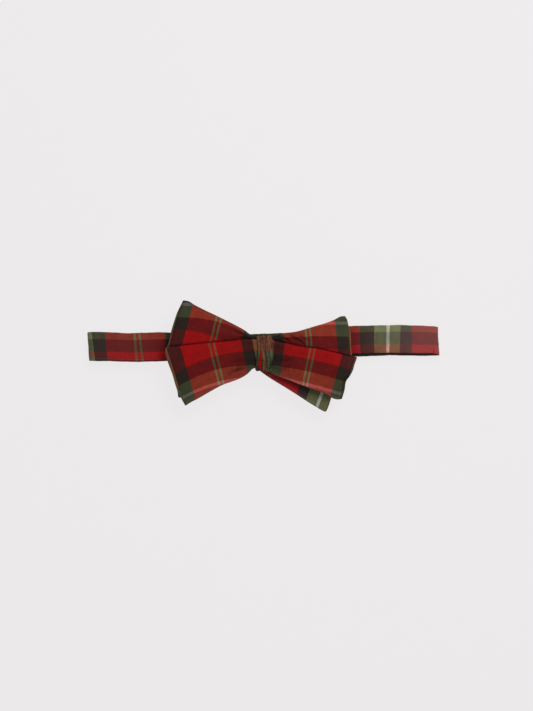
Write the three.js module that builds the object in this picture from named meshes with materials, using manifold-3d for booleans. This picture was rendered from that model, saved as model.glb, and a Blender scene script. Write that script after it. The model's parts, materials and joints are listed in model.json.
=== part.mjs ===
// Pre-tied bow tie on an adjustable neck band. The band is closed to a loop and pressed flat, so the
// front of the band lies over the two rear straps, which lie on the plane z = 0 and fold at both ends.
// Millimetres. X runs along the band, +Z is the side that faces outwards from the wearer's neck.
import * as THREE from 'three';
import { mergeVertices } from 'three/addons/utils/BufferGeometryUtils.js';
import Module from 'manifold-3d';

const wasm = await Module();
wasm.setup();

// ---------------------------------------------------------------- driving dimensions
const BAND_WIDTH = 18.4;
const FOLD_X = 110; // the band folds back at x = -FOLD_X and at x = FOLD_X
const END_GAP = 0.3;
const GAP = 0.2;

// The band has three plies: tartan shell, interlining and black lining
const SHELL = 0.35;
const INTERLINING = 0.3;
const LINING = 0.35;
const PLY_GAP = 0.1;
const BAND_THICKNESS = SHELL + INTERLINING + LINING + 2 * PLY_GAP;
const INTERLINING_WIDTH = 15.6;
const LINING_WIDTH = 17.2;

// Levels: each is the underside of its piece
const RAISED_STRAP_Z = 1.0; // where the long strap passes through the slide
const RETURN_RUN_Z = 3.3;
const FRONT_BAND_Z = 5.0;

// Middle lines of the bands in Y
const LEFT_BAND_Y = 5.4;
const RIGHT_BAND_Y = 10.2;
const BAND_BEND_X = [14, 62];
const BEND_STEP = 4;
const LONG_STRAP_Y = 6.0; // at the fold, and so is the next one
const SHORT_STRAP_Y = 9.1;
const LONG_STRAP_TURN = -0.016; // radians about Z at the fold: both straps run downhill to the middle
const SHORT_STRAP_TURN = 0.026;

// Hardware
const METAL = 0.8;
const BAR = 1.5;
const RAIL = 0.9;
const PIN_RADIUS = 0.42;
const PIN_SIDES = 12;
const HARDWARE_WIDTH = 20.6;
const SLIDE_LENGTH = 13;
const SLIDE_WRAP = 0.5;
const SLIDE_WRAP_CORNER = 0.6;
const HOOK_FRAME = 8.3;
const HOOK_REACH = 18;
const HOOK_TONGUE_WIDTH = 6;
const HOOK_CURL_RADIUS = 1.1;
const HOOK_CURL_LENGTH = 7;
const HOOK_CURL_THINNING = 0.1;
const EYE_LENGTH = 9;
const EYE_Z = 1.5;
const EYE_FLAP = 13;

// Stitching: a zigzag of one strand
const STITCH = 0.15;
const STITCH_PITCH = 1;
const STITCH_STRAND = 0.6;
const SEAM_LENGTH = 16;
const SEAM_SWING = 2;
const BARTACK_LENGTH = 14;
const BARTACK_SWING = 1.6;
const BARTACK_INSET = 2.5;
const TACK_WIDTH = 1.2;

// Places along the straps, measured from the fold towards the middle
const RAMP = [13, 26];
const SLIDE_AT = 60;
const HOOK_AT = 108;
const EYE_AT = 60;

// Bow: waist, knot, blade and loop
const WAIST_X = 1.75;
const WAIST_Y = 1.55;
const WAIST_HALF = 9.1;
const KNOT_WIDTH = 10;
const KNOT_HEIGHT = 22.4;
const KNOT_PLY = 0.8;
const KNOT_Z = [6.8, 15.6];
const THREAD = 0.35;
const THREAD_WIDTH = 2.4;
const BLADE_Z = 8.3;
const BLADE_THICKNESS = 1.3;
const BLADE_PLY = 0.35;
const LOOP_Z = 9.9;
const LOOP_DEPTH = 4.2;
const LOOP_PLY = 0.7;
const LOOP_TURN = 1.2;
const INTERFACING = 0.4;
const WAIST_TOP = WAIST_Y + WAIST_HALF;
const WAIST_BOTTOM = WAIST_Y - WAIST_HALF;

// Ends of the two wings in plan, from top to bottom, and the long edges between them
const LEFT_END = [[-50.5, 34.6], [-58.4, 15.7], [-61.5, 3], [-58.4, -9], [-53.4, -25.9], [-49, -31.4]];
const RIGHT_END = [[51.2, 25.1], [54.4, 10], [55.3, 1.1], [59, -1.3], [55, -12], [49.3, -27]];
const LOOP_TOP_EDGE = [[32.3, 18.2], [13.4, 14.2], [7.5, WAIST_TOP], [-4, WAIST_TOP], [-9.3, 14.2],
  [-44, 32.6], [-47, 34.6]];
const LOOP_BOTTOM_EDGE = [[-37.6, -24.6], [-26.3, -18.3], [-11.2, -12.7], [-4, WAIST_BOTTOM],
  [7.5, WAIST_BOTTOM], [23, -18.8], [43.7, -26.6]];
const BLADE_OUTLINE = [[-4, WAIST_BOTTOM], [7, WAIST_BOTTOM], [9, -16], [39, -34.7], [42, -26], [52, 7.4],
  [30, 12], [7, WAIST_TOP], [-4, WAIST_TOP], [-20, 13], [-46, 27], [-56, 0], [-50, -22], [-20, -14]];

// ---------------------------------------------------------------- finishes
const finish = (color, roughness, metalness = 0) =>
  new THREE.MeshStandardMaterial({ color, roughness, metalness });
const TARTAN = finish(0x8c1a1f, 0.75);
const BLACK_LINING = finish(0x2d2926, 0.7);
const STIFFENER = finish(0xd9d4c8, 0.9);
const STITCHING = finish(0x3a1b18, 0.8);
const STEEL = finish(0xb9bbbd, 0.3, 1);

// ---------------------------------------------------------------- outlines
const vectors = (points) => points.map(([x, y]) => new THREE.Vector2(x, y));
const outline = (points) => new THREE.Shape(vectors(points));

function rectangle(x0, y0, x1, y1, Curve = THREE.Shape) {
  return new Curve(vectors([[x0, y0], [x1, y0], [x1, y1], [x0, y1]]));
}

function rounded(x0, y0, x1, y1, radius, Curve = THREE.Shape) {
  const curve = new Curve();
  curve.moveTo(x0 + radius, y0);
  curve.lineTo(x1 - radius, y0);
  curve.absarc(x1 - radius, y0 + radius, radius, -Math.PI / 2, 0, false);
  curve.lineTo(x1, y1 - radius);
  curve.absarc(x1 - radius, y1 - radius, radius, 0, Math.PI / 2, false);
  curve.lineTo(x0 + radius, y1);
  curve.absarc(x0 + radius, y1 - radius, radius, Math.PI / 2, Math.PI, false);
  curve.lineTo(x0, y0 + radius);
  curve.absarc(x0 + radius, y0 + radius, radius, Math.PI, 1.5 * Math.PI, false);
  return curve;
}

function roundedRing(x0, y0, x1, y1, radius, wall) {
  const ring = rounded(x0, y0, x1, y1, radius);
  ring.holes.push(rounded(x0 + wall, y0 + wall, x1 - wall, y1 - wall, radius - wall, THREE.Path));
  return ring;
}

// A zigzag of one thread along Y
function zigzag(x, y, length, swing) {
  const turns = Math.round(length / STITCH_PITCH);
  const points = [];
  for (let i = 0; i <= turns; i += 1) {
    points.push([x + (i % 2 ? swing : -swing) / 2, y - length / 2 + i * STITCH_PITCH]);
  }
  return outline([...points, ...points.map(([px, py]) => [px + STITCH_STRAND, py]).reverse()]);
}

// ---------------------------------------------------------------- solids
const X = new THREE.Vector3(1, 0, 0);
const Y = new THREE.Vector3(0, 1, 0);
const Z = new THREE.Vector3(0, 0, 1);
const extrude = (shape, depth) =>
  new THREE.ExtrudeGeometry(shape, { depth, bevelEnabled: false, curveSegments: 5 });

// A flat piece: its outline in plan, raised from z
const slab = (shape, z, thickness) => extrude(shape, thickness).translate(0, 0, z);

// A bent strip: its outline in X and Z, carried across the band, half to either side of y = 0
function across(shape, width) {
  const basis = new THREE.Matrix4().makeBasis(X, Z, Y.clone().negate());
  return extrude(shape, width).applyMatrix4(basis).translate(0, width / 2, 0);
}

// A wrap: its outline in Y and Z, carried along X
function along(shape, length, x) {
  const basis = new THREE.Matrix4().makeBasis(Y, Z, X);
  return extrude(shape, length).applyMatrix4(basis).translate(x - length / 2, 0, 0);
}

// A round bar across the band
function pin(x, z, length) {
  return new THREE.CylinderGeometry(PIN_RADIUS, PIN_RADIUS, length, PIN_SIDES).translate(x, 0, z);
}

function solid(geometry) {
  const bare = geometry.clone();
  bare.deleteAttribute('normal');
  bare.deleteAttribute('uv');
  const merged = mergeVertices(bare, 1e-4);
  return new wasm.Manifold(new wasm.Mesh({
    numProp: 3,
    vertProperties: new Float32Array(merged.attributes.position.array),
    triVerts: new Uint32Array(merged.index.array),
  }));
}

function geometryOf(manifold) {
  const { vertProperties, triVerts } = manifold.getMesh();
  const geometry = new THREE.BufferGeometry();
  geometry.setAttribute('position', new THREE.BufferAttribute(vertProperties, 3));
  geometry.setIndex(new THREE.BufferAttribute(triVerts, 1));
  return geometry;
}

const joined = (...pieces) => geometryOf(pieces.map(solid).reduce((a, b) => a.add(b)));
const cut = (piece, ...tools) => geometryOf(tools.map(solid).reduce((a, b) => a.subtract(b), solid(piece)));

const bow_tie = new THREE.Group();

function place(parent, name, geometry, material) {
  const mesh = new THREE.Mesh(geometry, material);
  mesh.name = name;
  parent.add(mesh);
}

// The three plies of a band. Its tartan faces up on the front of the band and down on the rear straps.
function placePlies(parent, name, tartanUp, ply) {
  const stack = [
    ['lining', LINING, LINING_WIDTH, BLACK_LINING],
    ['interlining', INTERLINING, INTERLINING_WIDTH, STIFFENER],
    ['shell', SHELL, BAND_WIDTH, TARTAN],
  ];
  if (!tartanUp) stack.reverse();
  let level = 0;
  for (const [layer, thickness, width, material] of stack) {
    place(parent, `${name}_${layer}`, ply(level, thickness, width), material);
    level += thickness + PLY_GAP;
  }
}

// ---------------------------------------------------------------- front of the neck band
function frontBandY(x) {
  const t = THREE.MathUtils.smoothstep(x, ...BAND_BEND_X);
  return THREE.MathUtils.lerp(LEFT_BAND_Y, RIGHT_BAND_Y, t);
}

function frontBandPly(level, thickness, width) {
  const end = FOLD_X - END_GAP;
  const stations = [-end];
  for (let x = BAND_BEND_X[0]; x <= BAND_BEND_X[1]; x += BEND_STEP) stations.push(x);
  stations.push(end);
  const lower = stations.map((x) => [x, frontBandY(x) - width / 2]);
  const upper = stations.map((x) => [x, frontBandY(x) + width / 2]).reverse();
  return slab(outline([...lower, ...upper]), FRONT_BAND_Z + level, thickness);
}

placePlies(bow_tie, 'front_band', true, frontBandPly);

// ---------------------------------------------------------------- bow
// The loop is a strip folded back on itself at both wing ends, so it is open along its long edges
function loopRing(inset, z, depth, ply, turn) {
  const shift = (points, dx) => points.map(([x, y]) => [x + dx, y]);
  const beyond = 50; // past the widest point of the wings
  const rim = [...shift(LEFT_END, inset), ...LOOP_BOTTOM_EDGE, ...shift(RIGHT_END, -inset).reverse(),
    ...LOOP_TOP_EDGE];
  const left = shift(LEFT_END, inset + turn);
  const right = shift(RIGHT_END, -inset - turn).reverse();
  const hollow = [[left[0][0], beyond], ...left, [left.at(-1)[0], -beyond], [right[0][0], -beyond], ...right,
    [right.at(-1)[0], beyond]];
  return cut(slab(outline(rim), z, depth), slab(outline(hollow), z + ply, depth - 2 * ply));
}

const LINER_GAP = 0.15;
place(bow_tie, 'front_bow_loop', loopRing(0, LOOP_Z, LOOP_DEPTH, LOOP_PLY, LOOP_TURN), TARTAN);
place(bow_tie, 'bow_loop_interfacing',
  loopRing(LOOP_TURN + LINER_GAP, LOOP_Z + LOOP_PLY + LINER_GAP, LOOP_DEPTH - 2 * (LOOP_PLY + LINER_GAP),
    INTERFACING, INTERFACING), STIFFENER);

// The blade is a flat bag, left open at its hidden end, with a stiffener inside
const CAVITY_SCALE = [0.93, 0.93];
const LINER_SCALE = [0.9, 0.82];
const towardsWaist = (points, [sx, sy]) =>
  points.map(([x, y]) => [WAIST_X + (x - WAIST_X) * sx, WAIST_Y + (y - WAIST_Y) * sy]);
const cavityDepth = BLADE_THICKNESS - 2 * BLADE_PLY;
const bladeMouth = rectangle(-60, -8, -45, 8);
place(bow_tie, 'rear_bow_blade', cut(
  slab(outline(BLADE_OUTLINE), BLADE_Z, BLADE_THICKNESS),
  slab(outline(towardsWaist(BLADE_OUTLINE, CAVITY_SCALE)), BLADE_Z + BLADE_PLY, cavityDepth),
  slab(bladeMouth, BLADE_Z + BLADE_PLY, cavityDepth),
), TARTAN);
place(bow_tie, 'rear_blade_interfacing', slab(outline(towardsWaist(BLADE_OUTLINE, LINER_SCALE)),
  BLADE_Z + BLADE_PLY + PLY_GAP, cavityDepth - 2 * PLY_GAP), STIFFENER);

// ---------------------------------------------------------------- knot
const KNOT_RADIUS = 2;
const knotBottom = WAIST_Y - KNOT_HEIGHT / 2;
const knotTop = WAIST_Y + KNOT_HEIGHT / 2;
place(bow_tie, 'knot_wrap', along(
  roundedRing(knotBottom, KNOT_Z[0], knotTop, KNOT_Z[1], KNOT_RADIUS, KNOT_PLY), KNOT_WIDTH, WAIST_X), TARTAN);

const threadInset = KNOT_PLY + LINER_GAP;
place(bow_tie, 'gathering_thread', along(
  roundedRing(knotBottom + threadInset, KNOT_Z[0] + threadInset, knotTop - threadInset,
    KNOT_Z[1] - threadInset, KNOT_RADIUS - threadInset, THREAD), THREAD_WIDTH, WAIST_X), STITCHING);

// Behind the knot: the seam that closes the wrap, and the tack that ties the knot to the band
const SEAM_X = WAIST_X + 1.8;
const TACK_X = WAIST_X - 2.6;
const seamZ = KNOT_Z[0] - LINER_GAP - STITCH;
place(bow_tie, 'knot_seam_stitches', slab(zigzag(SEAM_X, WAIST_Y, SEAM_LENGTH, SEAM_SWING), seamZ, STITCH),
  STITCHING);

const tackReach = GAP + STITCH;
const tackHalf = BAND_WIDTH / 2 + tackReach;
place(bow_tie, 'band_tack_stitches', along(
  roundedRing(LEFT_BAND_Y - tackHalf, FRONT_BAND_Z - LINER_GAP - STITCH, LEFT_BAND_Y + tackHalf,
    FRONT_BAND_Z + BAND_THICKNESS + LINER_GAP + STITCH, 2 * STITCH, STITCH), TACK_WIDTH, TACK_X),
STITCHING);

// ---------------------------------------------------------------- long strap
// Everything on the long strap lies in this group, whose origin is the middle of its fold
const long_side = new THREE.Group();
long_side.position.set(-FOLD_X, LONG_STRAP_Y, 0);
long_side.rotation.z = LONG_STRAP_TURN;
bow_tie.add(long_side);

placePlies(long_side, 'long_strap', false, (level, thickness, width) => {
  const route = [[END_GAP, 0], [RAMP[0], 0], [RAMP[1], RAISED_STRAP_Z], [HOOK_AT, RAISED_STRAP_Z]];
  const lower = route.map(([x, z]) => [x, z + level]);
  const upper = route.map(([x, z]) => [x, z + level + thickness]).reverse();
  return across(outline([...lower, ...upper]), width);
});

// ---------------------------------------------------------------- adjuster slide
const CENTRE_BAR_Z = RAISED_STRAP_Z + BAND_THICKNESS + SLIDE_WRAP + 2 * GAP;
const side = HARDWARE_WIDTH / 2;

// Its end bars pass under the strap and its raised centre bar passes over it
function adjusterSlide() {
  const x = [SLIDE_AT - SLIDE_LENGTH / 2, SLIDE_AT + SLIDE_LENGTH / 2];
  const base = rounded(x[0], -side, x[1], side, BAR);
  base.holes.push(rectangle(x[0] + BAR, RAIL - side, x[1] - BAR, side - RAIL, THREE.Path));
  const post = rectangle(SLIDE_AT - BAR, 0, SLIDE_AT + BAR, CENTRE_BAR_Z + METAL);
  const bridge = rectangle(SLIDE_AT - BAR / 2, CENTRE_BAR_Z, SLIDE_AT + BAR / 2, CENTRE_BAR_Z + METAL);
  return joined(
    slab(base, 0, METAL),
    across(bridge, HARDWARE_WIDTH - RAIL),
    across(post, RAIL).translate(0, (RAIL - HARDWARE_WIDTH) / 2, 0),
    across(post, RAIL).translate(0, (HARDWARE_WIDTH - RAIL) / 2, 0),
  );
}

const wrapReach = BAR / 2 + GAP + SLIDE_WRAP;
const wrapTop = CENTRE_BAR_Z + METAL + GAP + SLIDE_WRAP;
place(long_side, 'adjuster_slide', adjusterSlide(), STEEL);
place(long_side, 'slide_end_wrap', across(roundedRing(SLIDE_AT - wrapReach, CENTRE_BAR_Z - GAP - SLIDE_WRAP,
  SLIDE_AT + wrapReach, wrapTop, SLIDE_WRAP_CORNER, SLIDE_WRAP), BAND_WIDTH), TARTAN);
place(long_side, 'slide_end_bartack',
  slab(zigzag(SLIDE_AT, 0, BARTACK_LENGTH, BARTACK_SWING), wrapTop + PLY_GAP / 2, STITCH), STITCHING);

// ---------------------------------------------------------------- doubled run and hook
placePlies(long_side, 'return_run', true, (level, thickness, width) => {
  const z = RETURN_RUN_Z + level;
  return across(rectangle(SLIDE_AT + wrapReach + END_GAP, z, HOOK_AT, z + thickness), width);
});

// Half a ring that joins the level of one run to the level of the run above it. It bulges to `way`.
function turnOutline(x, low, high, way) {
  const radius = (high + BAND_THICKNESS - low) / 2;
  const middle = low + radius;
  const shape = new THREE.Shape();
  shape.absarc(x, middle, radius, -Math.PI / 2, Math.PI / 2, way < 0);
  shape.absarc(x, middle, radius - BAND_THICKNESS, Math.PI / 2, -Math.PI / 2, way > 0);
  return shape;
}

const hookPinZ = (RAISED_STRAP_Z + RETURN_RUN_Z + BAND_THICKNESS) / 2;
place(long_side, 'hook_turn_fold',
  across(turnOutline(HOOK_AT + END_GAP, RAISED_STRAP_Z, RETURN_RUN_Z, 1), BAND_WIDTH), TARTAN);

// The tongue of the hook runs out and curls back over itself
function tongueOutline(x, z) {
  const outer = HOOK_CURL_RADIUS;
  const inner = outer - METAL + HOOK_CURL_THINNING;
  const crown = x + HOOK_REACH - outer;
  const back = x + HOOK_REACH - HOOK_CURL_LENGTH;
  const bottom = z - METAL / 2;
  const shape = new THREE.Shape(vectors([[x + HOOK_FRAME - BAR / 2, bottom], [crown, bottom]]));
  shape.absarc(crown, bottom + outer, outer, -Math.PI / 2, Math.PI / 2, false);
  shape.lineTo(back, bottom + 2 * outer);
  shape.lineTo(back, bottom + outer + inner);
  shape.absarc(crown, bottom + outer, inner, Math.PI / 2, -Math.PI / 2, true);
  shape.lineTo(x + HOOK_FRAME - BAR / 2, bottom + outer - inner);
  return shape;
}

// A frame on a round pin. The pin carries the strap, and the far bar lies `length` away from it.
function pinnedFrame(x, z, length) {
  const far = x + length;
  const inner = far - Math.sign(length) * BAR;
  const plate = outline([[x, -side], [far, -side], [far, side], [x, side], [x, side - RAIL],
    [inner, side - RAIL], [inner, RAIL - side], [x, RAIL - side]]);
  return [slab(plate, z - METAL / 2, METAL), pin(x, z, HARDWARE_WIDTH - RAIL)];
}

place(long_side, 'neck_hook', joined(
  ...pinnedFrame(HOOK_AT, hookPinZ, HOOK_FRAME),
  across(tongueOutline(HOOK_AT, hookPinZ), HOOK_TONGUE_WIDTH),
), STEEL);

// ---------------------------------------------------------------- short strap and eye
// Everything on the short strap lies in this group, whose origin is the middle of its fold
const short_side = new THREE.Group();
short_side.position.set(FOLD_X, SHORT_STRAP_Y, 0);
short_side.rotation.z = SHORT_STRAP_TURN;
bow_tie.add(short_side);
placePlies(short_side, 'short_strap', false, (level, thickness, width) =>
  across(rectangle(-EYE_AT, level, -END_GAP, level + thickness), width));

// The strap's end turns up round the pin of the eye and comes down on the strap, where a bar tack holds it
const eyePinZ = EYE_Z + METAL / 2;
const FLAP_Z = 1.5;
const flapHighZ = 2 * eyePinZ - BAND_THICKNESS;
const flapSlope = 4;
const flap = outline([[-EYE_AT, flapHighZ], [flapSlope - EYE_AT, FLAP_Z], [EYE_FLAP - EYE_AT, FLAP_Z],
  [EYE_FLAP - EYE_AT, FLAP_Z + BAND_THICKNESS], [flapSlope - EYE_AT, FLAP_Z + BAND_THICKNESS],
  [-EYE_AT, flapHighZ + BAND_THICKNESS]]);
place(short_side, 'eye_end_wrap', joined(
  across(turnOutline(-EYE_AT, 0, flapHighZ, -1), BAND_WIDTH),
  across(flap, BAND_WIDTH),
), TARTAN);
place(short_side, 'eye_end_bartack', slab(zigzag(EYE_FLAP - BARTACK_INSET - EYE_AT, 0, BARTACK_LENGTH,
  BARTACK_SWING), FLAP_Z + BAND_THICKNESS + PLY_GAP, STITCH), STITCHING);
place(short_side, 'neck_eye', joined(...pinnedFrame(-EYE_AT, eyePinZ, -EYE_LENGTH)), STEEL);

export default bow_tie;
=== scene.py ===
"""Looks of the pre-tied tartan bow tie, which lies flat on the floor and is seen from straight above.
Shapes are drawn in millimetres in the CAD part's frame, and turned into metres as meshes are made."""

import json
import math

import bpy
import numpy as np
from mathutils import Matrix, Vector


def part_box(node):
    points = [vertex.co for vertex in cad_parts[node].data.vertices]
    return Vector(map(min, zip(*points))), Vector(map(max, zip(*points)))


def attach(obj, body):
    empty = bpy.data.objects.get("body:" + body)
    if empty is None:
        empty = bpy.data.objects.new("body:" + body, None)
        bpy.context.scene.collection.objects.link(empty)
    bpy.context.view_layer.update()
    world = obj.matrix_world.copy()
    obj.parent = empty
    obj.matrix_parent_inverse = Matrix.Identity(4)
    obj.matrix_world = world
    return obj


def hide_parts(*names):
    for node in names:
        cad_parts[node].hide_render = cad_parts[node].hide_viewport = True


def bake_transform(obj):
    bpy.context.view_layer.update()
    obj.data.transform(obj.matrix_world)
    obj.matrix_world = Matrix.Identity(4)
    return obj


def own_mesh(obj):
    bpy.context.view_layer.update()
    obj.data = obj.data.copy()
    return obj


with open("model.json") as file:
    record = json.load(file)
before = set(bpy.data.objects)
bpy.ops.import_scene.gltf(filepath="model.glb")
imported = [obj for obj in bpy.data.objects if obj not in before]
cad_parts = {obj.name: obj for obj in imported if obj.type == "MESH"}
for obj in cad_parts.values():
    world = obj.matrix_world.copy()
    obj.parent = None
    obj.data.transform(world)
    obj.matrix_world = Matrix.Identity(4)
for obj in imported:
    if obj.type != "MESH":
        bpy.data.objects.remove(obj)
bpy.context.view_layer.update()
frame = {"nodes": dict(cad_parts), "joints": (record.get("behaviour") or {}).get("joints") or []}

# ---------------- places taken from the frame
MM = 0.001


def box(node):
    low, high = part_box(node)
    return np.array(low) / MM, np.array(high) / MM


def joint(name, key):
    return np.array(next(j[key] for j in frame["joints"] if j["name"] == name))


FRONT_LOW, FRONT_HIGH = box("front_band_shell")
LONG_FOLD = joint("long_strap_fold", "pos_m") / MM
SHORT_FOLD = joint("short_strap_fold", "pos_m") / MM
HOOK_PIN = joint("hook_tilt", "pos_m") / MM
EYE_PIN = joint("eye_tilt", "pos_m") / MM
LONG_AXIS = joint("slide_travel", "axis")
KNOT_LOW, KNOT_HIGH = box("knot_wrap")
KNOT_MIDDLE = (KNOT_LOW + KNOT_HIGH) / 2
BLADE_LOW, BLADE_HIGH = box("rear_bow_blade")
LOOP_LOW, LOOP_HIGH = box("front_bow_loop")
RUN_LOW, RUN_HIGH = box("return_run_shell")
SLIDE_LOW, SLIDE_HIGH = box("adjuster_slide")
WRAP_LOW, WRAP_HIGH = box("slide_end_wrap")

# ---------------- tartan sett, in millimetres
# Stripes of one repeat of the sett, the same in warp and weft: where each starts, and its yarn
REPEAT = 68.8
SETT = [(0, "red"), (16.5, "line"), (17.8, "red"), (19.4, "line"), (20.7, "red"), (37.2, "black"),
        (45.1, "olive"), (52.0, "white"), (54.0, "olive"), (60.9, "black")]
OLIVE_MIDDLE = 53.0
# Yarn colours as a screen shows them, out of 255
YARN = {"red": (138, 12, 15), "black": (41, 33, 28), "olive": (99, 107, 71), "white": (214, 205, 200),
        "line": (100, 86, 52)}
WEFT_YARN = {**YARN, "white": (214, 176, 192)}  # the warp shows through the white weft
WEFT_SHARE = 0.36
TOP_THREAD = 0.12  # how far the thread that lies on top shifts that share
SCREEN_GAMMA = 2.2
# Warp and weft are mixed as the screen's value to this power, for red, green and blue: the lower it is, the
# more the dark threads count
MIXING = (0.3, 1.0, 0.7)
THREAD_PITCH = 0.24


class Graph:
    """A node material with a Principled shader."""

    def __init__(self, name, **sockets):
        self.material = bpy.data.materials.new(name)
        self.material.use_nodes = True
        self.tree = self.material.node_tree
        self.tree.nodes.clear()
        self.shader = self.node("ShaderNodeBsdfPrincipled", sockets)
        output = self.node("ShaderNodeOutputMaterial")
        self.tree.links.new(self.shader.outputs[0], output.inputs[0])

    def node(self, kind, inputs=None, **settings):
        node = self.tree.nodes.new(kind)
        for key, value in settings.items():
            setattr(node, key, value)
        for key, value in (inputs or {}).items():
            self.feed(node.inputs[key], value)
        return node

    def feed(self, socket, value):
        if isinstance(value, bpy.types.NodeSocket):
            self.tree.links.new(value, socket)
        else:
            socket.default_value = value

    def shade(self, **sockets):
        """Feeds sockets of the shader, named with _ for a space."""
        for name, value in sockets.items():
            self.feed(self.shader.inputs[name.replace("_", " ")], value)

    def math(self, operation, a, b=0.0, clamp=False):
        return self.node("ShaderNodeMath", {0: a, 1: b}, operation=operation, use_clamp=clamp).outputs[0]

    def times(self, a, b, clamp=False):
        return self.math("MULTIPLY", a, b, clamp)

    def plus(self, a, b, clamp=False):
        return self.math("ADD", a, b, clamp)

    def mix(self, factor, a, b, blend="MIX"):
        node = self.node("ShaderNodeMix", data_type="RGBA", blend_type=blend)
        for socket, value in ((0, factor), (6, a), (7, b)):
            self.feed(node.inputs[socket], value)
        return node.outputs[2]

    def noise(self, vector, detail, roughness, scale=1.0):
        return self.node("ShaderNodeTexNoise", {"Vector": vector, "Scale": scale, "Detail": detail,
                                                "Roughness": roughness}).outputs[0]

    def cloth_noise(self, u, v, kind):
        """Noise over the cloth, of one of the kinds listed below."""
        warp_rate, weft_rate, seed, detail, roughness = kind
        place = self.vector(self.times(u, warp_rate), self.times(v, weft_rate), seed)
        return self.noise(place, detail, roughness)

    def span(self, value, low, high, start=0.0, end=1.0):
        """Values from `start` to `end` spread over `low` to `high`."""
        return self.node("ShaderNodeMapRange", {0: value, 1: start, 2: end, 3: low, 4: high}).outputs[0]

    def vector(self, x, y, z):
        return self.node("ShaderNodeCombineXYZ", {0: x, 1: y, 2: z}).outputs[0]

    def colour(self, red, green, blue):
        return self.node("ShaderNodeCombineColor", {0: red, 1: green, 2: blue}).outputs[0]

    def place(self):
        return self.node("ShaderNodeTexCoord").outputs["Object"]

    def attribute(self, name):
        return self.node("ShaderNodeAttribute", attribute_name=name).outputs["Fac"]

    def bump(self, strength, distance, height):
        bump = self.node("ShaderNodeBump", {"Strength": strength, "Distance": distance, "Height": height})
        self.shade(Normal=bump.outputs[0])


def weave_coordinates(graph):
    """Warp and weft coordinates along the cloth, in millimetres."""
    uv = graph.node("ShaderNodeUVMap", uv_map="weave").outputs[0]
    split = graph.node("ShaderNodeSeparateXYZ", {0: uv})
    return graph.times(split.outputs[0], 1 / MM), graph.times(split.outputs[1], 1 / MM)


def yarn_ramp(graph, place, yarns):
    """The sett's stripes at a place along the warp or weft, in the values that MIXING mixes."""
    share = graph.math("FRACT", graph.math("DIVIDE", place, REPEAT))
    ramp = graph.node("ShaderNodeValToRGB", {0: share})
    ramp.color_ramp.interpolation = "CONSTANT"
    stops = ramp.color_ramp.elements
    stops.remove(stops[1])
    for i, (start, yarn) in enumerate(SETT):
        stop = stops[0] if i == 0 else stops.new(start / REPEAT)
        stop.position = start / REPEAT
        stop.color = (*((value / 255) ** power for value, power in zip(yarns[yarn], MIXING)), 1)
    return ramp.outputs[0]


def interlace(graph, u, v, pitch):
    """1 where a weft thread lies on top and -1 where a warp thread does."""
    warp = graph.math("SINE", graph.times(u, math.pi / pitch))
    weft = graph.math("SINE", graph.times(v, math.pi / pitch))
    return graph.times(warp, weft)


# Noise over the cloth: its rates along the warp and weft coordinates, seed, detail and roughness
DRIFT = (0.25, 0.25, 0.0, 3.0, 0.5)
WARP_SLUBS = (2.2, 0.10, 0.0, 3.0, 0.6)
WEFT_SLUBS = (0.10, 2.2, 7.0, 3.0, 0.6)
CLOUD = (0.16, 0.16, 3.0, 5.0, 0.75)
PAINTED_CRUMPLE = (0.75, 0.22, 11.0, 4.0, 0.65)
LINING_SLUBS = (1.8, 0.12, 0.0, 3.0, 0.6)
# How dark and how light each of them makes the tartan
WARP_SLUB_TONE = (0.58, 1.42)
WEFT_SLUB_TONE = (0.70, 1.30)
CLOUD_TONE = (0.52, 1.48)
PAINTED_FOLD_SHADE = 0.2
KNOT_PAINTED_SHADE = (0.80, 1.0, 0.006, 0.030)  # painted shade: tone by the knot and clear of it, and those distances in metres
STRAYING = 0.35  # millimetres that a stripe's edge wanders either way
TARTAN_FINISH = {"Specular IOR Level": 0.12, "Sheen Weight": 0.03, "Sheen Roughness": 0.45}
TARTAN_ROUGHNESS = (0.70, 0.88)
# The colour that rubbed edges, dust and the painted sheen at the band's ends pale towards
FADE_AND_SHEEN_COLOUR = (0.92, 0.54, 0.52, 1)
RIGHT_PAINTED_SHEEN = (0.0, 0.072, 0.050, 0.100)  # painted sheen: how much before and after, and from X to X in metres
# Paler towards the left end, by the same measures
LEFT_END_PALING = (0.0, 0.015, -0.060, -0.075)
RUB = 0.05  # the most that an edge fades
SLUB_HEIGHT = 1.5  # against the height of a thread


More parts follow.
